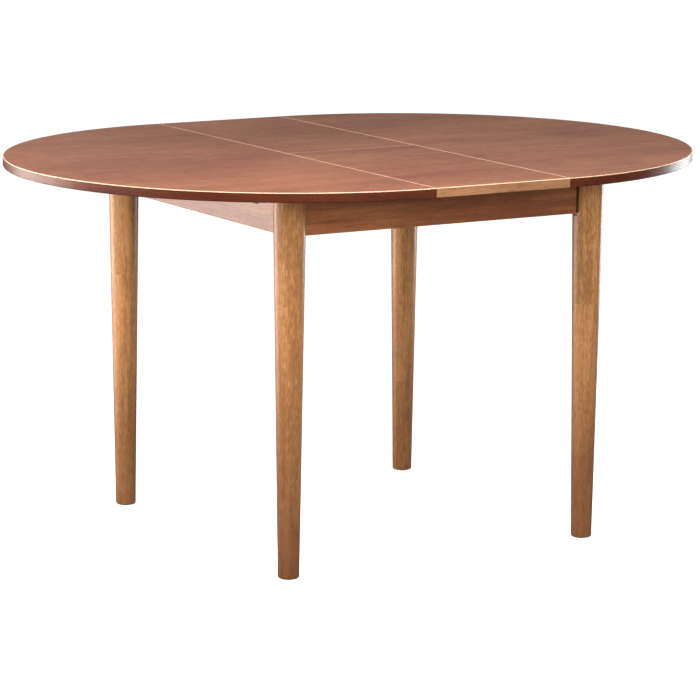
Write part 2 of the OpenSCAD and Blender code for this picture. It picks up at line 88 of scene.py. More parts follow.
class TableSizes(bpy.types.PropertyGroup):
    leg_foot_radius: FloatProperty(
        name="Leg foot radius", description="Radius of a leg at its foot",
        default=0.0203, min=0.015, max=0.03, subtype="DISTANCE", unit="LENGTH")
    leg_foot_round: FloatProperty(
        name="Foot rounding", description="Radius of the leg's rounded lower edge",
        default=0.0035, min=0.001, max=0.006, subtype="DISTANCE", unit="LENGTH")
    cutter_radius: FloatProperty(
        name="Cutter radius", description="Radius of the hollow at the lower end of each flat",
        default=0.008, min=0.006, max=0.012, subtype="DISTANCE", unit="LENGTH")
    block_flat_depth: FloatProperty(
        name="Block flat depth", description="Depth of the flat under the corner block",
        default=0.0031, min=0.002, max=0.0035, subtype="DISTANCE", unit="LENGTH")
    block_margin: FloatProperty(
        name="Block margin", description="Height of the corner block's lower face above the rail's",
        default=0.006, min=0.004, max=0.012, subtype="DISTANCE", unit="LENGTH")
    block_thickness: FloatProperty(
        name="Block thickness", description="Thickness of a corner block",
        default=0.032, min=0.024, max=0.038, subtype="DISTANCE", unit="LENGTH")
    band_thickness: FloatProperty(
        name="Edge band", description="Thickness of the band round the top",
        default=0.002, min=0.001, max=0.005, subtype="DISTANCE", unit="LENGTH")
    band_round: FloatProperty(
        name="Band rounding", description="Radius of the band's rounded arrises",
        default=0.0014, min=0.0005, max=0.002, subtype="DISTANCE", unit="LENGTH")
    seam_ease: FloatProperty(
        name="Seam bevel", description="Bevel along the seams of the top",
        default=0.0007, min=0.0003, max=0.0015, subtype="DISTANCE", unit="LENGTH")
    arris: FloatProperty(
        name="Wood arris", description="Softening of the legs' sharp edges",
        default=0.0005, min=0.0001, max=0.0015, subtype="DISTANCE", unit="LENGTH")
    thread_pitch: FloatProperty(
        name="Thread pitch", description="Pitch of the hanger bolts' machine thread",
        default=0.00125, min=0.0008, max=0.002, subtype="DISTANCE", unit="LENGTH")
    bolt_rise: FloatProperty(
        name="Bolt rise", description="Height of each hanger bolt above or below the rails' middle",
        default=0.02, min=0.01, max=0.03, subtype="DISTANCE", unit="LENGTH")
    columns: IntProperty(
        name="Leg columns", description="Faces round a leg", default=128, min=32, max=256)


class TableColours(bpy.types.PropertyGroup):
    top_light: FloatVectorProperty(
        name="Top, light", description="Light streaks of the top's veneer",
        default=(0.52, 0.205, 0.105), size=3, min=0, max=1, subtype="COLOR")
    top_dark: FloatVectorProperty(
        name="Top, dark", description="Dark streaks of the top's veneer",
        default=(0.265, 0.085, 0.043), size=3, min=0, max=1, subtype="COLOR")
    band_light: FloatVectorProperty(
        name="Edge band, light", description="Light streaks of the dark edge band",
        default=(0.10, 0.021, 0.006), size=3, min=0, max=1, subtype="COLOR")
    band_dark: FloatVectorProperty(
        name="Edge band, dark", description="Dark streaks of the dark edge band",
        default=(0.045, 0.008, 0.0025), size=3, min=0, max=1, subtype="COLOR")
    leaf_light: FloatVectorProperty(
        name="Leaf edge, light", description="Light streaks of the leaf's pale edge",
        default=(0.43, 0.215, 0.105), size=3, min=0, max=1, subtype="COLOR")
    leaf_dark: FloatVectorProperty(
        name="Leaf edge, dark", description="Dark streaks of the leaf's pale edge",
        default=(0.19, 0.08, 0.035), size=3, min=0, max=1, subtype="COLOR")
    leg_light: FloatVectorProperty(
        name="Legs, light", description="Light grain of the legs",
        default=(0.66, 0.325, 0.125), size=3, min=0, max=1, subtype="COLOR")
    leg_dark: FloatVectorProperty(
        name="Legs, dark", description="Dark grain of the legs",
        default=(0.33, 0.14, 0.048), size=3, min=0, max=1, subtype="COLOR")
    rail_light: FloatVectorProperty(
        name="Rails, light", description="Light grain of the rails",
        default=(0.42, 0.155, 0.058), size=3, min=0, max=1, subtype="COLOR")
    rail_dark: FloatVectorProperty(
        name="Rails, dark", description="Dark grain of the rails",
        default=(0.22, 0.072, 0.026), size=3, min=0, max=1, subtype="COLOR")
    inner_light: FloatVectorProperty(
        name="Inner wood, light", description="Light grain of the unstained inner wood",
        default=(0.62, 0.44, 0.26), size=3, min=0, max=1, subtype="COLOR")
    inner_dark: FloatVectorProperty(
        name="Inner wood, dark", description="Dark grain of the unstained inner wood",
        default=(0.43, 0.27, 0.135), size=3, min=0, max=1, subtype="COLOR")


class StageSettings(bpy.types.PropertyGroup):
    camera_place: FloatVectorProperty(
        name="Camera place", description="Where the camera stands",
        default=(-3.2161, -5.4625, 1.5556), size=3, subtype="TRANSLATION", unit="LENGTH")
    turn: FloatProperty(
        name="Turn", description="Camera's turn from the Y axis towards X",
        default=0.53204, subtype="ANGLE", unit="ROTATION")
    dip: FloatProperty(
        name="Dip", description="Camera's angle below the horizon",
        default=0.18827, subtype="ANGLE", unit="ROTATION")
    roll: FloatProperty(
        name="Roll", description="Camera's roll about its own axis",
        default=0.00665, subtype="ANGLE", unit="ROTATION")
    lens: FloatProperty(
        name="Lens", description="Focal length on a sensor 36 mm wide, in millimetres",
        default=166.8, min=20, max=400, subtype="NONE")
    key_power: FloatProperty(
        name="Key light", description="Power of the large soft light in front",
        default=70.0, min=0, max=2000, subtype="POWER", unit="POWER")
    left_power: FloatProperty(
        name="Left light", description="Power of the soft light straight to the left",
        default=18.0, min=0, max=2000, subtype="POWER", unit="POWER")
    front_power: FloatProperty(
        name="Front light", description="Power of the light above the table's front edge",
        default=15.0, min=0, max=2000, subtype="POWER", unit="POWER")
    side_power: FloatProperty(
        name="Left panel", description="Power of the low panel behind on the left",
        default=50.0, min=0, max=2000, subtype="POWER", unit="POWER")
    back_power: FloatProperty(
        name="Back panel", description="Power of the wide panel behind the table",
        default=1.5, min=0, max=2000, subtype="POWER", unit="POWER")
    rim_power: FloatProperty(
        name="Right panel", description="Power of the narrow panel on the right",
        default=22.0, min=0, max=2000, subtype="POWER", unit="POWER")
    top_power: FloatProperty(
        name="Overhead light", description="Power of the soft light above",
        default=3.0, min=0, max=2000, subtype="POWER", unit="POWER")
    surround: FloatProperty(
        name="Surroundings", description="Brightness of the room, apart from the white backdrop",
        default=0.13, min=0, max=3)
    ceiling: FloatProperty(
        name="Ceiling", description="How much brighter the room is straight above",
        default=0.3, min=0, max=3)
    floor_glow: FloatProperty(
        name="Floor glow", description="Light that the floor gives off, which keeps it pale everywhere",
        default=0.75, min=0, max=3)


# ---- materials: sums on sockets ----

class Wire:
    """One output socket of a material's node tree. Sums on it add Math nodes to the same tree."""

    def __init__(self, tree, socket=None):
        self.tree, self.socket = tree, socket

    def add(self, kind, settings=None, values=None, out=0):
        """Adds a node of that kind. Its settings are set first, then its sockets get numbers or links."""
        node = self.tree.nodes.new(kind)
        for key, value in (settings or {}).items():
            setattr(node, key, value)
        for key, value in (values or {}).items():
            if isinstance(value, Wire):
                self.tree.links.new(value.socket, node.inputs[key])
            else:
                node.inputs[key].default_value = value
        return Wire(self.tree, node.outputs[out] if len(node.outputs) else None)

    def sum(self, operation, *others):
        values = {i: v for i, v in enumerate((self, *others))}
        return self.add("ShaderNodeMath", {"operation": operation}, values)

    def __add__(self, other):
        return self.sum("ADD", other)

    __radd__ = __add__

    def __mul__(self, other):
        return self.sum("MULTIPLY", other)

    __rmul__ = __mul__

    def __sub__(self, other):
        return self.sum("SUBTRACT", other)

    def __rsub__(self, other):
        return self * -1.0 + other

    def __truediv__(self, other):
        return self.sum("DIVIDE", other)

    def __abs__(self):
        return self.sum("ABSOLUTE")

    def floor(self):
        return self.sum("FLOOR")

    def least(self, other):
        return self.sum("MINIMUM", other)

    def most(self, other):
        return self.sum("MAXIMUM", other)

    def band(self, low, high):
        """0 below low, 1 above high, and smooth between."""
        return self.add("ShaderNodeMapRange", {"interpolation_type": "SMOOTHSTEP"},
                        {"Value": self, "From Min": low, "From Max": high})

    def parts(self):
        node = self.add("ShaderNodeSeparateXYZ", {}, {0: self}).socket.node
        return [Wire(self.tree, axis) for axis in node.outputs]

    def vector(self, x, y, z):
        return self.add("ShaderNodeCombineXYZ", {}, {0: x, 1: y, 2: z})

    def noise(self, vector, scale, detail=2.0, rough=0.5, twist=0.0):
        return self.add("ShaderNodeTexNoise", {"noise_dimensions": "3D"}, {
            "Vector": vector, "Scale": scale, "Detail": detail, "Roughness": rough, "Distortion": twist})

    def chance(self, vector):
        """A number from 0 to 1 for each whole-number vector."""
        return self.add("ShaderNodeTexWhiteNoise", {"noise_dimensions": "3D"}, {"Vector": vector})

    def blend(self, first, second):
        """Mixes two colours, this value being the share of the second."""
        first, second = (c if isinstance(c, Wire) else (*c, 1.0) for c in (first, second))
        return self.add("ShaderNodeMix", {"data_type": "RGBA"}, {0: self, 6: first, 7: second}, out=2)


def new_material(name):
    """An empty material, and a wire to start its tree from."""
    made = bpy.data.materials.new(name)
    made.use_nodes = True
    made.node_tree.nodes.clear()
    return made, Wire(made.node_tree)


def close_material(wire, colour, roughness, normal=None, **steady):
    """Ends a tree in one Principled shader. steady gives the sockets that are the same all over."""
    values = {"Base Color": colour, "Roughness": roughness}
    if normal is not None:
        values["Normal"] = normal
    values.update({key.replace("_", " ").title().replace("Ior", "IOR"): v for key, v in steady.items()})
    shader = wire.add("ShaderNodeBsdfPrincipled", {}, values)
    wire.add("ShaderNodeOutputMaterial", {}, {"Surface": shader})


def near_edge(place, low, high, reach):
    """1 on the edges of the box from low to high, falling to 0 at reach from them.

    The three distances to the box's faces are sorted, and the middle one is the distance to the nearest edge."""
    x, y, z = place.parts()
    middle, half = (low + high) / 2, (high - low) / 2
    gaps = [half[i] - abs(axis - middle[i]) for i, axis in enumerate((x, y, z))]
    least = gaps[0].least(gaps[1]).least(gaps[2])
    most = gaps[0].most(gaps[1]).most(gaps[2])
    second = gaps[0] + gaps[1] + gaps[2] - least - most
    return 1 - second.band(0.0, reach)


def wood(name, light, dark, grain="x", board=0.09, stave=10.0, seed=0.0, streak=1.0, rough=0.4, coat=0.3,
         box=None, on_uv=False, edge_shade=0.6, tone_spread=0.5, foot=0.0, figure=1.0, speckle=0.35,
         cloud=0.3, line=None, line_colour=(0.9, 0.62, 0.42)):
    """Lacquered wood whose grain runs along x, y or z, or along U of the UV map.

    Boards lie side by side, each cut into staves end to end, and each stave has its own tone and
    its own figure. Long soft streaks, a slow mottle and short open pores are stretched noises."""
    made, wire = new_material(name)
    place = wire.add("ShaderNodeTexCoord", out="UV" if on_uv else "Object")
    x, y, z = place.parts()
    along, across, depth = {"x": (x, y, z), "y": (y, x, z), "z": (z, x, y)}[grain]
    board_no = (across / board + 0.5 + seed).floor()
    board_chance = wire.chance(wire.vector(board_no, seed, 1.7))
    stave_no = (along / stave + board_chance * 3.0 + seed).floor()
    tone = wire.chance(wire.vector(board_no, stave_no, seed + 3.1))
    shift = tone * 0.8
    wander = wire.noise(wire.vector(across * 0.6, depth, along), 3.0, 1.0) * 0.02
    solid = (across + wander, depth + shift)
    streaks = wire.noise(wire.vector(*solid, along * 0.035), 150.0 * streak, 5.0, 0.62, 0.3)
    slow = wire.noise(wire.vector(*solid, along * 0.10), 24.0 * streak, 2.0, 0.5, 0.5)
    mottle = wire.noise(wire.vector(across * 0.9, depth + shift, along * 0.55), 42.0, 3.0, 0.55)
    fibre = wire.noise(wire.vector(*solid, along * 0.012), 1400.0, 2.0, 0.6)
    pores = wire.noise(wire.vector(across, depth + shift, along * 0.045), 1100.0, 1.0, 0.5).band(0.60, 0.74)
    specks = wire.noise(wire.vector(across, depth + shift, along * 0.22), 330.0, 3.0, 0.7)
    clouds = wire.noise(wire.vector(across, depth, along * 0.6), 4.5, 2.0, 0.5, 0.4)
    share = ((streaks - 0.5) * 1.15 * figure + (slow - 0.5) * 0.9 * figure + (mottle - 0.5) * 0.35
             + (specks - 0.5) * 2.0 * speckle + (clouds - 0.5) * 2.0 * cloud + (tone - 0.5) * tone_spread + 0.5)
    colour = share.band(0.05, 0.95).blend(light, dark)
    colour = (fibre.band(0.3, 0.75) * 0.16).blend(colour, tuple(c * 0.55 for c in dark))
    colour = (pores * 0.42).blend(colour, tuple(c * 0.35 for c in dark))
    # line paints line_colour where its mask is: pale lines on seams and arrises, or painted shade on the legs'
    # flats.
    if line is not None:
        colour = line(wire.add("ShaderNodeTexCoord", out="Object")).blend(colour, line_colour)
    # Painted shade: the colour darkens towards the foot, as strongly as foot asks.
    if foot:
        painted_foot_shade = 1 - along.band(0.0, 0.56)
        colour = (painted_foot_shade * foot).blend(colour, tuple(c * k for c, k in zip(dark, (0.42, 0.30, 0.36))))
    roughness = (streaks - 0.5) * 0.10 + (mottle - 0.5) * 0.12 + pores * 0.12 + rough
    if box is not None:
        edge = near_edge(place, *box, 0.0022)
        worn = edge * (wire.noise(place, 60.0, 3.0, 0.6).band(0.42, 0.62) * 0.7 + 0.3)
        colour = (worn * edge_shade).blend(colour, tuple(min(1.0, c * 1.25) for c in light))
        roughness = roughness - worn * 0.05
    height = fibre * 0.25 - pores * 0.9 + streaks * 0.25
    bump = wire.add("ShaderNodeBump", {}, {"Strength": 0.28, "Distance": 0.00025, "Height": height})
    close_material(wire, colour, roughness, bump, coat_weight=coat, coat_roughness=0.22, ior=1.5)
    return made


def steel(name, colour, metallic, rough, grit, grain_scale):
    """Plated or powder-coated steel: a fine skin of noise in tone, gloss and height."""
    made, wire = new_material(name)
    place = wire.add("ShaderNodeTexCoord", out="Object")
    skin = wire.noise(place, grain_scale, 3.0, 0.6)
    cloud = wire.noise(place, 35.0, 3.0, 0.55)
    shade = (skin - 0.5) * 0.5 + (cloud - 0.5) * 0.8 + 0.5
    tinted = shade.band(0.1, 0.9).blend(tuple(c * 0.8 for c in colour), tuple(min(1.0, c * 1.15) for c in colour))
    roughness = (cloud - 0.5) * 0.22 + (skin - 0.5) * 0.12 + rough
    bump = wire.add("ShaderNodeBump", {}, {"Strength": grit, "Distance": 0.00012, "Height": skin})
    close_material(wire, tinted, roughness, bump, metallic=metallic, specular_ior_level=0.5)
    return made


def plastic(name, colour, rough):
    """Moulded plastic: a matt skin with faint flow clouds."""
    made, wire = new_material(name)
    place = wire.add("ShaderNodeTexCoord", out="Object")
    skin = wire.noise(place, 1800.0, 2.0, 0.6)
    cloud = wire.noise(place, 60.0, 3.0, 0.5)
    tinted = cloud.band(0.25, 0.75).blend(tuple(c * 0.88 for c in colour), colour)
    bump = wire.add("ShaderNodeBump", {}, {"Strength": 0.25, "Distance": 0.0001, "Height": skin})
    close_material(wire, tinted, (cloud - 0.5) * 0.15 + (skin - 0.5) * 0.1 + rough, bump, ior=1.5)
    return made


# ---- mesh building ----

def quads(rows, columns, ring_rows=False, ring_columns=True):
    """Corner numbers of the faces of a grid, closed on itself along rows or columns."""
    i = np.arange(rows if ring_rows else rows - 1)[:, None]
    j = np.arange(columns if ring_columns else columns - 1)[None, :]
    i2, j2 = (i + 1) % rows, (j + 1) % columns
    a, b, c, d = (np.broadcast_to(v, (i.size, j.size)) for v in
                  (i * columns + j, i * columns + j2, i2 * columns + j2, i2 * columns + j))
    return np.stack([a, b, c, d], -1).reshape(-1, 4)


def make_piece(name, sheets, body, finish, replaced, uv=None, sharp=35.0, arris=0.0):
    """Joins grids of points into one closed mesh with outward faces, smooth below the sharp angle."""
    points, faces, start = [], [], 0
    for grid, ring_rows, ring_columns in sheets:
        rows, columns = grid.shape[:2]
        faces.append(quads(rows, columns, ring_rows, ring_columns) + start)
        points.append(grid.reshape(-1, 3))
        start += rows * columns
    points, faces = np.concatenate(points).astype(np.float32), np.concatenate(faces).astype(np.int32)
    mesh = bpy.data.meshes.new(name)
    mesh.vertices.add(len(points))
    mesh.vertices.foreach_set("co", points.ravel())
    mesh.loops.add(faces.size)
    mesh.loops.foreach_set("vertex_index", faces.ravel())
    mesh.polygons.add(len(faces))
    mesh.polygons.foreach_set("loop_start", np.arange(0, faces.size, 4, dtype=np.int32))
    if uv is not None:
        layer = mesh.uv_layers.new(name="Grain")
        layer.data.foreach_set("uv", uv.reshape(-1, 2)[faces.ravel()].astype(np.float32).ravel())
    mesh.update(calc_edges=True)
    work = bmesh.new()
    work.from_mesh(mesh)
    bmesh.ops.remove_doubles(work, verts=work.verts, dist=1e-6)
    bmesh.ops.dissolve_degenerate(work, edges=work.edges, dist=1e-7)
    bmesh.ops.recalc_face_normals(work, faces=work.faces)
    work.to_mesh(mesh)
    work.free()
    mesh.shade_smooth()
    mesh.set_sharp_from_angle(angle=math.radians(sharp))
    made = bpy.data.objects.new(name, mesh)
    bpy.context.scene.collection.objects.link(made)
    mesh.materials.append(finish)
    if arris:
        soft = made.modifiers.new("Arris", "BEVEL")
        soft.width, soft.segments, soft.limit_method = arris, 2, "ANGLE"
        soft.angle_limit = math.radians(sharp)
        soft.harden_normals = True
    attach(made, body)
    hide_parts(*replaced)
    return made


def ring_grid(radius, height, columns):
    """Grid of a profile turned about Z: radius may change with the angle, rows being profile points."""
    angle = np.linspace(0, 2 * np.pi, columns, endpoint=False)
    radius, height = np.broadcast_arrays(radius, height)
    if radius.ndim == 1:
        radius, height = radius[:, None], height[:, None]
    return np.stack(np.broadcast_arrays(radius * np.cos(angle), radius * np.sin(angle), height), -1)


def stand(grid, origin, axis, spin=0.0):
    """Turns a grid built along +Z so that it points along axis, and moves it to origin."""
    axis = np.array(axis, float) / np.linalg.norm(axis)
    side = np.cross([0, 0, 1], axis)
    side = np.array([1.0, 0, 0]) if np.linalg.norm(side) < 1e-6 else side / np.linalg.norm(side)
    other = np.cross(axis, side)
    first = math.cos(spin) * side + math.sin(spin) * other
    turned = np.stack([first, np.cross(axis, first), axis])
    return grid @ turned + np.array(origin)


def corners():
    """The signs of the four corners of the frame."""
    return [(sx, sy) for sx in (-1, 1) for sy in (-1, 1)]


def finish_nodes(names, made):
    """Gives CAD nodes a finish, with their shapes left alone."""
    for name in names:
        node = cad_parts[name]
        node.data.materials.clear()
        node.data.materials.append(made)


# ---- operators ----

class TABLE_OT_legs(bpy.types.Operator):
    """Round tapered legs with their two rail flats, the corner block's flat and hollow flat ends"""

    bl_idname = "table.legs"
    bl_label = "Legs"

    def execute(self, context):
        sizes, colours = context.scene.table_sizes, context.scene.table_colours
        # Strength of each leg's painted shade towards its foot.
        foot_shade_strengths = (0.8, 0.55, 0.75, 0.55)
        for number, ((sx, sy), foot_shade_strength) in enumerate(zip(corners(), foot_shade_strengths)):
            name = f"leg_{'rear' if sy > 0 else 'front'}_{'right' if sx > 0 else 'left'}"
            # line_colour is a dark painted shade laid on the flats beside the rails.
            finish = wood(f"Leg wood {number + 1}", colours.leg_light, colours.leg_dark, grain="z", board=0.045,
                          stave=0.36, seed=1.37 * number + 0.21, streak=0.8, rough=0.36, coat=0.3,
                          tone_spread=0.2, speckle=0.8, foot=foot_shade_strength,
                          line=self.painted_flat_shade, line_colour=(0.045, 0.014, 0.006))
            grid = self.grid(sizes) * np.array([-sx, -sy, 1.0]) + np.array([sx * LEG_X, sy * LEG_Y, 0.0])
            make_piece(f"turned_{name}", [(grid, False, True)], "frame", finish, [name],
                       sharp=25.0, arris=sizes.arris)
        return {"FINISHED"}

    def painted_flat_shade(self, place):
        """Painted shade: 1 on the flats and their hollow ends, nearer the axis than the cone is, dark there as in
        the rails' shadow.
        """
        x, y, z = place.parts()
        from_x, from_y = abs(x) - LEG_X, abs(y) - LEG_Y
        sizes = bpy.context.scene.table_sizes
        slope = (LEG_TOP_R - sizes.leg_foot_radius) / (FRAME_Z - GLIDE_T - sizes.leg_foot_round)
        cone = (z - FRAME_Z) * slope + LEG_TOP_R
        gap = cone - (from_x * from_x + from_y * from_y).sum("SQRT")
        return gap.band(0.0003, 0.0009) * z.band(RAIL_Z - 0.02, RAIL_Z - 0.01) * 0.85

    def grid(self, sizes):
        """A leg about the origin, its flats facing +X and +Y.

        Each level is the smallest of the cone's radius and the polar distances to the flats,
        flat / cos(angle). The flats' lower ends curve out along the cutter's circle. At each level
        the columns nearest to the flats' edges are moved onto them."""
        foot_r, foot_round = sizes.leg_foot_radius, sizes.leg_foot_round
        cutter, block_flat = sizes.cutter_radius, LEG_TOP_R - sizes.block_flat_depth
        block_z = RAIL_Z + sizes.block_margin
        bend = np.linspace(-np.pi / 2, 0, 7)
        foot = np.stack([foot_r - foot_round + foot_round * np.cos(bend),
                         GLIDE_T + foot_round + foot_round * np.sin(bend)], -1)
        drop = math.sqrt(cutter ** 2 - (cutter - LEG_TOP_R + LEG_FLAT) ** 2)
        low = GLIDE_T + foot_round

        def cone(z):
            return foot_r + (LEG_TOP_R - foot_r) * (z - low) / (FRAME_Z - low)

        levels = np.concatenate([
            np.linspace(low, RAIL_Z - drop * 1.15, 24)[1:], np.linspace(RAIL_Z - drop * 1.1, RAIL_Z, 22),
            [block_z, block_z, (block_z + FRAME_Z) / 2, FRAME_Z]])
        blocked = np.zeros(len(levels), bool)
        blocked[-3:] = True
        round_r = cone(levels)
        rise = np.clip(RAIL_Z - levels, 0, cutter * 0.999)
        flat = np.where(levels >= RAIL_Z, LEG_FLAT, LEG_FLAT + cutter - np.sqrt(cutter ** 2 - rise ** 2))
        flat = np.where(levels < RAIL_Z - drop * 1.3, 1.0, flat)
        edge = np.arccos(np.clip(flat / round_r, 0, 1))
        cross = np.arctan(np.clip(block_flat * math.sqrt(2) / flat - 1, 0, 1))
        inner = np.where(blocked, cross, edge)
        angles = np.tile(np.linspace(0, 2 * np.pi, sizes.columns, endpoint=False), (len(levels), 1))
        step = 2 * np.pi / sizes.columns
        rows = np.arange(len(levels))
        for wanted in (-edge, inner, np.pi / 2 - inner, np.pi / 2 + edge):
            column = np.round(wanted / step).astype(int) % sizes.columns
            live = edge > 0.02
            angles[rows[live], column[live]] = wanted[live] % (2 * np.pi)
        with np.errstate(divide="ignore"):
            by_x = np.where(np.cos(angles) > 1e-6, flat[:, None] / np.cos(angles), 9.0)
            by_y = np.where(np.sin(angles) > 1e-6, flat[:, None] / np.sin(angles), 9.0)
            turned = np.cos(angles - np.pi / 4)
            by_block = np.where((turned > 1e-6) & blocked[:, None], block_flat / turned, 9.0)
        radius = np.minimum.reduce([np.broadcast_to(round_r[:, None], by_x.shape), by_x, by_y, by_block])
        body = np.stack([radius * np.cos(angles), radius * np.sin(angles),
                         np.broadcast_to(levels[:, None], radius.shape)], -1)
        lower = ring_grid(np.concatenate([[0.0], foot[:, 0]]), np.concatenate([[GLIDE_T], foot[:, 1]]),
                          sizes.columns)
        pole = np.broadcast_to(np.array([0.0, 0.0, FRAME_Z]), (1, sizes.columns, 3))
        return np.concatenate([lower, body, pole])


class TABLE_OT_rails(bpy.types.Operator):
    """Finishes of the rails, cross bearers, corner blocks and dowels"""

    bl_idname = "table.rails"
    bl_label = "Rails and bearers"

    def execute(self, context):
        colours = context.scene.table_colours
        for number, (name, grain) in enumerate([
                ("rail_front", "x"), ("rail_rear", "x"), ("rail_left", "y"), ("rail_right", "y")]):
            finish_nodes([name], wood(
                f"Rail wood {number + 1}", colours.rail_light, colours.rail_dark, grain=grain, board=0.5,
                stave=9.0, seed=0.7 * number + 0.4, streak=0.6, rough=0.38, coat=0.32, box=low_high(name),
                edge_shade=0.6, figure=1.4, cloud=1.0))
        for number, name in enumerate(("bearer_left", "bearer_right")):
            finish_nodes([name], wood(
                f"Bearer wood {number + 1}", colours.inner_light, colours.inner_dark, grain="y", board=0.06,
                stave=9.0, seed=1.9 * number + 2.3, rough=0.55, coat=0.0, box=low_high(name), edge_shade=0.25))
        inner = wood("Block wood", colours.inner_light, colours.inner_dark, grain="z", board=0.03, stave=9.0,
                     seed=5.1, rough=0.6, coat=0.0)
        finish_nodes([f"corner_block_{a}_{b}" for a in ("front", "rear") for b in ("left", "right")]
                     + ["bearer_dowels"], inner)
        return {"FINISHED"}


class TABLE_OT_top(bpy.types.Operator):
    """Veneered panels of the top and the leaf, with their edge bands"""

    bl_idname = "table.top"
    bl_label = "Top and leaf"

    def execute(self, context):
        sizes, colours = context.scene.table_sizes, context.scene.table_colours
        for number, name in enumerate(("top_left_panel", "top_right_panel", "leaf_front_panel",
                                       "leaf_rear_panel")):
            finish_nodes([name], wood(
                f"Top veneer {number + 1}", colours.top_light, colours.top_dark, grain="x", board=0.16,
                stave=40.0, seed=0.31 * number + 0.17, streak=0.9, rough=0.42, coat=0.12,
                tone_spread=0.12, figure=0.42, speckle=0.5, cloud=0.42, line=self.seams))
        dark = wood("Dark edge band", colours.band_light, colours.band_dark, grain="x", board=0.5, stave=30.0,
                    seed=0.6, streak=0.8, rough=0.36, coat=0.12, on_uv=True, cloud=0.5, line=self.rim)
        for sign, name in ((-1, "top_left_band"), (1, "top_right_band")):
            grid, uv = self.band(sizes, sign)
            make_piece(f"rounded_{name}", [(grid, True, False)] + self.ends(grid), name[:-5],
                       dark, [name], uv=uv, sharp=40.0)
        pale = wood("Leaf edge wood", colours.leaf_light, colours.leaf_dark, grain="x", board=0.5, stave=9.0,
                    seed=3.3, streak=0.9, rough=0.36, coat=0.25, cloud=0.9, figure=0.5, line=self.rim)
        finish_nodes(["leaf_front_edge", "leaf_rear_edge"], pale)
        return {"FINISHED"}

    def seams(self, place):
        """1 beside the seams of the top, and less beside the fold of the leaf, where a pale line is painted."""
        x, y, z = place.parts()
        seam = 1 - abs(abs(x) - HALF_X).band(0.0008, 0.0018)
        fold = (1 - abs(y).band(0.0006, 0.0014)) * (1 - abs(x).band(HALF_X, HALF_X + 0.001)) * 0.5
        return seam.most(fold) * z.band(TOP_Z + 0.012, TABLE_H - 0.0008)

    def rim(self, place):
        """1 on the upper arris of the edge bands, where a pale line is painted."""
        return place.parts()[2].band(TABLE_H - 0.0016, TABLE_H - 0.0008) * 0.9

    def band(self, sizes, sign):
        """Edge band: a section with rounded outer arrises carried along the half circle.

        A point is cut back to the seam's plane, which slopes back by the bevel near the top."""
        thick, bend = sizes.band_thickness, min(sizes.band_round, sizes.band_thickness)
        turn = np.linspace(-np.pi / 2, 0, 9)
        low = np.stack([thick - bend + bend * np.cos(turn), bend + bend * np.sin(turn)], -1)
        height = TABLE_H - TOP_Z
        high = np.stack([low[::-1, 0], height - low[::-1, 1]], -1)
        inner = np.array([[0.0, height], [0.0, height - sizes.seam_ease], [0.0, 0.0]])
        section = np.concatenate([low, high, inner])
        angle = np.linspace(np.pi / 2, 3 * np.pi / 2, 361)
        radius = (DISC_R - thick + section[:, 0])[:, None]
        z = np.broadcast_to((TOP_Z + section[:, 1])[:, None], (len(section), len(angle)))
        x = -HALF_X + radius * np.cos(angle)
        x = np.minimum(x, -HALF_X - np.maximum(0, z - TABLE_H + sizes.seam_ease))
        grid = np.stack([x * -sign, radius * np.sin(angle), z], -1)
        along = np.broadcast_to(angle * DISC_R, x.shape)
        step = np.linalg.norm(np.diff(section, axis=0), axis=1)
        across = np.broadcast_to(np.concatenate([[0], np.cumsum(step)])[:, None], x.shape)
        uv = np.stack([along, across], -1)
        ends = [np.repeat(uv[:, [column]], 2, axis=1).reshape(-1, 2) for column in (0, -1)]
        return grid, np.concatenate([uv.reshape(-1, 2), *ends])

    def ends(self, grid):
        """The two flat ends: each outline is joined to the middle of its section."""
        made = []
        for column in (0, -1):
            outline = grid[:, column]
            middle = np.broadcast_to(outline.mean(0), outline.shape)
            made.append((np.stack([outline, middle], 1), True, False))
        return made


class TABLE_OT_slides(bpy.types.Operator):
    """Finishes of the slides, liners, leaf pivot and rests"""

    bl_idname = "table.slides"
    bl_label = "Slides and pivot"

    def execute(self, context):
        black = steel("Black powder coat", (0.016, 0.016, 0.018), 0.0, 0.42, 0.5, 1500.0)
        ends = [f"{a}_{b}" for a in ("front", "rear") for b in ("left", "right")]
        finish_nodes([f"channel_{e}" for e in ends]
                     + ["runner_left_front", "runner_left_rear", "runner_right_front", "runner_right_rear",
                        "pivot_bracket_left", "pivot_bracket_right", "leaf_rest_left", "leaf_rest_right",
                        "pivot_plate_left", "pivot_plate_right"], black)
        finish_nodes(["slide_liners"], plastic("Nylon", (0.78, 0.76, 0.7), 0.45))
        zinc = steel("Zinc plate", (0.63, 0.64, 0.66), 1.0, 0.33, 0.25, 700.0)
        finish_nodes(["pivot_pins", "pivot_rings"], zinc)
        finish_nodes(["hinge_barrels_front", "hinge_barrels_rear"],
                     steel("Brass", (0.72, 0.5, 0.2), 1.0, 0.3, 0.2, 600.0))
        return {"FINISHED"}


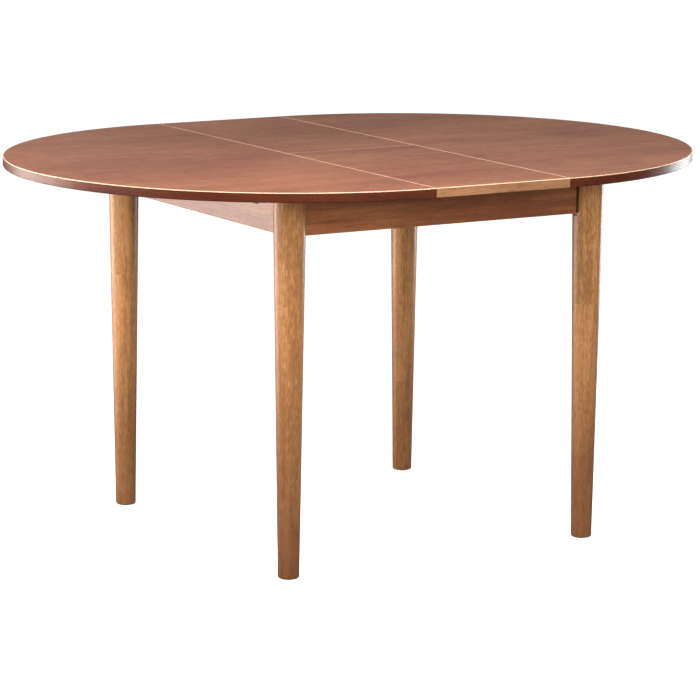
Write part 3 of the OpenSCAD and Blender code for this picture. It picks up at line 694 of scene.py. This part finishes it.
class TABLE_OT_fasteners(bpy.types.Operator):
    """Threaded hanger bolts, nuts, washers, screws with cross recesses and foot glides"""

    bl_idname = "table.fasteners"
    bl_label = "Fasteners and glides"

    def execute(self, context):
        sizes = context.scene.table_sizes
        self.zinc = steel("Bright zinc", (0.66, 0.67, 0.69), 1.0, 0.28, 0.25, 900.0)
        self.bolts(sizes)
        self.screws()
        self.glides()
        return {"FINISHED"}

    def bolts(self, sizes):
        """Each bolt lies level on the line from its leg to the middle, with a washer and a nut on it."""
        block_flat = LEG_TOP_R - sizes.block_flat_depth
        face = block_flat + sizes.block_thickness
        rods, rings, nuts = [], [], []
        for sx, sy in corners():
            axis = np.array([-sx, -sy, 0.0]) / math.sqrt(2)
            for rise in (-sizes.bolt_rise, sizes.bolt_rise):
                at = np.array([sx * LEG_X, sy * LEG_Y, RAIL_MID + rise])
                rods.append((stand(self.rod(sizes), at + axis * (block_flat - BOLT_IN_LEG), axis), False, True))
                rings.append((stand(self.washer(), at + axis * face, axis), True, True))
                nuts.append((stand(self.nut(), at + axis * (face + WASHER_T), axis), True, True))
        make_piece("threaded_hanger_bolts", rods, "frame", self.zinc, ["hanger_bolts"], sharp=50.0)
        make_piece("eased_washers", rings, "frame", self.zinc, ["bolt_washers"], sharp=30.0)
        make_piece("chamfered_nuts", nuts, "frame", self.zinc, ["bolt_nuts"], sharp=25.0)

    def rod(self, sizes):
        """A rod whose far end has a screw thread: its radius follows a triangle wave of turn and height."""
        length, start, pitch = BOLT_LENGTH, THREAD_START, sizes.thread_pitch
        thread_depth, chamfer, run_in = 0.00062, 0.0006, 0.001
        z = np.concatenate([[0.0, 0.0], [start], np.arange(start, length, pitch / 8), [length, length]])
        angle = np.linspace(0, 2 * np.pi, 24, endpoint=False)
        wave = np.abs(((z[:, None] / pitch - angle / (2 * np.pi)) % 1.0) * 2 - 1)
        depth = np.clip((z[:, None] - start) / run_in, 0, 1) * thread_depth
        end = np.clip((length - z[:, None]) / 0.0008, 0, 1) * chamfer + BOLT_R - chamfer
        radius = np.minimum(BOLT_R - depth * wave, end)
        radius[0] = radius[-1] = 0.0
        return np.stack([radius * np.cos(angle), radius * np.sin(angle),
                         np.broadcast_to(z[:, None], radius.shape)], -1)

    def washer(self):
        """A flat ring with eased edges, its section carried round."""
        section = np.array([
            [BORE_R, 0.0], [WASHER_R - EASE, 0.0], [WASHER_R, EASE], [WASHER_R, WASHER_T - EASE],
            [WASHER_R - EASE, WASHER_T], [BORE_R + EASE, WASHER_T], [BORE_R, WASHER_T - EASE]])
        return ring_grid(section[:, 0], section[:, 1], 48)

    def nut(self):
        """A hexagon's polar distance, cut by a cone at both ends, round a plain bore."""
        columns, bore_chamfer, end_share, end_slope = 96, 0.0006, 0.97, 1.9
        angle = np.linspace(0, 2 * np.pi, columns, endpoint=False)
        flat = NUT_R * math.cos(math.pi / 6)
        hexagon = flat / np.cos((angle + np.pi / 6) % (np.pi / 3) - np.pi / 6)
        z = np.array([0.0, 0.0003, 0.0009, 0.0032, NUT_T - 0.0009, NUT_T - 0.0003, NUT_T])
        cone = flat * end_share + np.minimum(z, NUT_T - z) * end_slope
        outer = np.minimum(hexagon[None, :], cone[:, None])
        z = np.concatenate([z, [NUT_T, NUT_T - 0.0005, 0.0005, 0.0]])
        inner = np.array([BORE_R + bore_chamfer, BORE_R, BORE_R, BORE_R + bore_chamfer])[:, None]
        radius = np.concatenate([outer, np.broadcast_to(inner, (4, columns))])
        return np.stack([radius * np.cos(angle), radius * np.sin(angle),
                         np.broadcast_to(z[:, None], radius.shape)], -1)

    def screw(self, radius, dome, sunk, shank, length, point):
        """A screw along +Z, its head's face about z = 0 and its point at length.

        The face's height is a dome less a cross-shaped recess with sloping walls, and the rest is turned.
        sunk is the height of a countersunk head's cone, or 0 for a round head."""
        columns, rings = 48, 13
        angle = np.linspace(0, 2 * np.pi, columns, endpoint=False)
        r = (np.linspace(0, 1, rings) * radius)[:, None]
        x, y = r * np.cos(angle), r * np.sin(angle)
        arm, width = radius * 0.56, radius * 0.13
        level = np.maximum(np.abs(x) / arm, np.abs(y) / width)
        upright = np.maximum(np.abs(y) / arm, np.abs(x) / width)
        cross = np.clip((1.25 - np.minimum(level, upright)) / 0.5, 0, 1)
        face = -dome * np.sqrt(np.clip(1 - (r / radius) ** 2 * 0.96, 0, 1)) + cross * radius * 0.34
        top = np.stack([x, y, np.broadcast_to(face, x.shape)], -1)
        seat = [(shank, sunk)] if sunk else [(radius, 0.0), (shank, 0.0)]
        body = np.array([(radius, face[-1].max()), *seat, (shank, length - point), (0.0, length)])
        return np.concatenate([top, ring_grid(body[:, 0], body[:, 1], columns)])

    def screws(self):
        """Countersunk and round-headed screws, each where its CAD solid is."""
        small = self.screw(radius=0.003, dome=0.0, sunk=0.0018, shank=0.0015, length=0.013, point=0.003)
        broad = self.screw(radius=0.004, dome=0.0, sunk=0.002, shank=0.002, length=0.02, point=0.003)
        round_head = self.screw(radius=0.0038, dome=0.0025, sunk=0.0, shank=0.002, length=0.026, point=0.003)
        kinds = (("block_screws", "frame", round_head), ("channel_screws", "frame", broad),
                 ("bracket_screws", "frame", small), ("rest_screws", "frame", small),
                 ("plate_screws", "leaf_front", small), ("runner_left_screws", "top_left", small),
                 ("runner_right_screws", "top_right", small))
        for node, body, shape in kinds:
            made = [(stand(shape, place, axis, spin), False, True)
                    for place, axis, spin in self.places(node, shape)]
            make_piece(f"recessed_{node}", made, body, self.zinc, [node], sharp=35.0)

    def places(self, node, shape):
        """Where each solid of a node of screws stands and points.

        The lowest number spreads from point to point along the edges until each solid carries its own."""
        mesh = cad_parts[node].data
        points = np.empty(len(mesh.vertices) * 3, np.float32)
        edges = np.empty(len(mesh.edges) * 2, np.int32)
        mesh.vertices.foreach_get("co", points)
        mesh.edges.foreach_get("vertices", edges)
        points, spot = np.unique(np.round(points.reshape(-1, 3), 6), axis=0, return_inverse=True)
        edges = spot.ravel()[edges].reshape(-1, 2)
        label, before = np.arange(len(points)), None
        while not np.array_equal(label, before):
            before = label.copy()
            lowest = before[edges].min(1)
            np.minimum.at(label, edges[:, 0], lowest)
            np.minimum.at(label, edges[:, 1], lowest)
        return [self.stance(points[label == solid], shape, solid) for solid in np.unique(label)]

    def stance(self, solid, shape, number):
        """Where a screw's head is seated, its axis's direction and a turn for its recess.

        The solid is longest along its axis, and its head is the end where its points lie wider apart."""
        low, high = solid.min(0), solid.max(0)
        main = int(np.argmax(high - low))
        low_end, high_end = (np.ptp(solid[np.abs(solid[:, main] - end) < 0.0006], axis=0).max()
                             for end in (low[main], high[main]))
        axis = np.zeros(3)
        axis[main] = 1.0 if low_end > high_end else -1.0
        face = (low + high) / 2
        face[main] = (low if low_end > high_end else high)[main]
        return face - axis * min(shape[:, :, 2].min(), 0.0), axis, number * 0.7

    def glides(self):
        """A domed disc with an eased rim under each foot, on a spike."""
        finish = plastic("Glide plastic", (0.2, 0.15, 0.11), 0.5)
        _, high = low_high("foot_glides")
        radius = high[0] - LEG_X
        section = np.array([
            [0.0, 0.0], [radius * 0.55, 0.0], [radius * 0.86, 0.0001], [radius * 0.96, 0.0004], [radius, 0.0009],
            [radius, 0.0017], [radius * 0.98, GLIDE_T], [0.002, GLIDE_T], [0.002, high[2] - 0.002], [0.0, high[2]]])
        made = [(ring_grid(section[:, 0], section[:, 1], 64) + np.array([sx * LEG_X, sy * LEG_Y, 0.0]), False, True)
                for sx, sy in corners()]
        make_piece("eased_foot_glides", made, "frame", finish, ["foot_glides"], sharp=50.0)


class TABLE_OT_stage(bpy.types.Operator):
    """Pale floor, soft lights, white surroundings and the camera"""

    bl_idname = "table.stage"
    bl_label = "Stage"

    def execute(self, context):
        scene, stage = context.scene, context.scene.table_stage
        self.floor(scene, stage)
        self.world(scene, stage)
        key = self.light(scene, "Key light", (-0.3, -3.0, 1.3), (0.0, -0.2, 0.6), 1.8, 1.0, stage.key_power)
        key.visible_glossy = False
        self.light(scene, "Front light", (-0.5, -1.05, 1.6), (-0.15, -0.35, 0.75), 0.8, 0.5, stage.front_power)
        left = self.light(scene, "Left light", (-1.45, -0.1, 0.8), (-0.5, 0.0, 0.5), 0.6, 0.8, stage.left_power)
        left.visible_glossy = False
        side = self.light(scene, "Left panel", (-2.0, 2.0, 0.6), (-0.3, 0.0, 0.6), 2.0, 1.6, stage.side_power)
        side.data.color = (1.0, 0.88, 0.82)
        self.light(scene, "Back panel", (-0.6, 3.8, 1.5), (-0.3, 0.0, 0.7), 4.4, 1.5, stage.back_power)
        self.light(scene, "Right panel", (2.3, 0.3, 0.8), (0.3, 0.0, 0.6), 0.9, 1.4, stage.rim_power)
        self.light(scene, "Overhead light", (-0.3, -0.5, 2.6), (-0.2, -0.2, 0.0), 2.0, 2.0, stage.top_power)
        self.camera(scene, stage)
        scene.view_settings.view_transform = "Standard"
        return {"FINISHED"}

    def floor(self, scene, stage):
        mesh = bpy.data.meshes.new("floor")
        side = 40.0  # far enough that its edge is never seen
        mesh.from_pydata([(-side, -side, 0), (side, -side, 0), (side, side, 0), (-side, side, 0)], [],
                         [(0, 1, 2, 3)])
        made, wire = new_material("Pale floor")
        place = wire.add("ShaderNodeTexCoord", out="Object")
        cloud = wire.noise(place, 2.0, 2.0)
        close_material(wire, cloud.blend((0.9, 0.9, 0.9), (0.92, 0.92, 0.92)), 0.9, specular_ior_level=0.1,
                       emission_color=(1.0, 1.0, 1.0, 1.0), emission_strength=stage.floor_glow)
        mesh.materials.append(made)
        floor = bpy.data.objects.new("floor", mesh)
        scene.collection.objects.link(floor)
        floor.visible_diffuse = floor.visible_glossy = floor.visible_shadow = False

    def world(self, scene, stage):
        """White behind the table; for everything else a dim room that is lighter towards the ceiling."""
        world = bpy.data.worlds.new("Studio")
        scene.world = world
        world.use_nodes = True
        world.node_tree.nodes.clear()
        wire = Wire(world.node_tree)
        seen = wire.add("ShaderNodeLightPath")
        x, y, z = wire.add("ShaderNodeTexCoord", out="Generated").parts()
        room = z.most(0.0) * stage.ceiling + stage.surround
        back = wire.add("ShaderNodeBackground", {}, {
            "Color": (1.0, 1.0, 1.0, 1.0), "Strength": seen + (1 - seen) * room})
        wire.add("ShaderNodeOutputWorld", {}, {"Surface": back})

    def light(self, scene, name, place, target, width, height, power):
        lamp = bpy.data.lights.new(name, "AREA")
        lamp.shape, lamp.size, lamp.size_y, lamp.energy = "RECTANGLE", width, height, power
        made = bpy.data.objects.new(name, lamp)
        made.location = place
        made.rotation_euler = (Vector(target) - Vector(place)).to_track_quat("-Z", "Y").to_euler()
        made.visible_camera = False
        scene.collection.objects.link(made)
        return made

    def camera(self, scene, stage):
        """Axes of the camera: forward from its turn and dip, then rolled about that axis."""
        turn, dip, roll = stage.turn, stage.dip, stage.roll
        forward = Vector((math.sin(turn) * math.cos(dip), math.cos(turn) * math.cos(dip), -math.sin(dip)))
        right = Vector((math.cos(turn), -math.sin(turn), 0.0))
        up = right.cross(forward)
        right, up = math.cos(roll) * right + math.sin(roll) * up, math.cos(roll) * up - math.sin(roll) * right
        lens = bpy.data.cameras.new("Camera")
        lens.sensor_width, lens.lens = 36.0, stage.lens
        lens.clip_end = 200.0
        made = bpy.data.objects.new("Camera", lens)
        place = Vector(stage.camera_place)
        made.matrix_world = Matrix((
            (right[0], up[0], -forward[0], place[0]), (right[1], up[1], -forward[1], place[1]),
            (right[2], up[2], -forward[2], place[2]), (0, 0, 0, 1)))
        scene.collection.objects.link(made)
        scene.camera = made


class TABLE_PT_build(bpy.types.Panel):
    """Builds the table's pieces and shows its sizes and colours"""

    bl_idname = "TABLE_PT_build"
    bl_label = "Extending table"
    bl_space_type = "VIEW_3D"
    bl_region_type = "UI"
    bl_category = "Table"

    def draw(self, context):
        layout, scene = self.layout, context.scene
        for step in STEPS:
            layout.operator(step.bl_idname)
        for title, group in (("Sizes", scene.table_sizes), ("Colours", scene.table_colours),
                             ("Stage", scene.table_stage)):
            box = layout.box()
            box.label(text=title)
            for prop in group.bl_rna.properties:
                if not prop.is_readonly and prop.identifier != "name":
                    box.prop(group, prop.identifier)


GROUPS = (TableSizes, TableColours, StageSettings)
STEPS = (TABLE_OT_stage, TABLE_OT_legs, TABLE_OT_rails, TABLE_OT_top, TABLE_OT_slides, TABLE_OT_fasteners)


def register():
    for made in (*GROUPS, *STEPS, TABLE_PT_build):
        bpy.utils.register_class(made)
    bpy.types.Scene.table_sizes = PointerProperty(type=TableSizes)
    bpy.types.Scene.table_colours = PointerProperty(type=TableColours)
    bpy.types.Scene.table_stage = PointerProperty(type=StageSettings)


def unregister():
    for name in ("table_sizes", "table_colours", "table_stage"):
        delattr(bpy.types.Scene, name)
    for made in reversed((*GROUPS, *STEPS, TABLE_PT_build)):
        bpy.utils.unregister_class(made)


def main():
    register()
    for step in STEPS:
        group, name = step.bl_idname.split(".")
        getattr(getattr(bpy.ops, group), name)()
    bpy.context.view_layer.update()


if __name__ == "__main__":
    main()
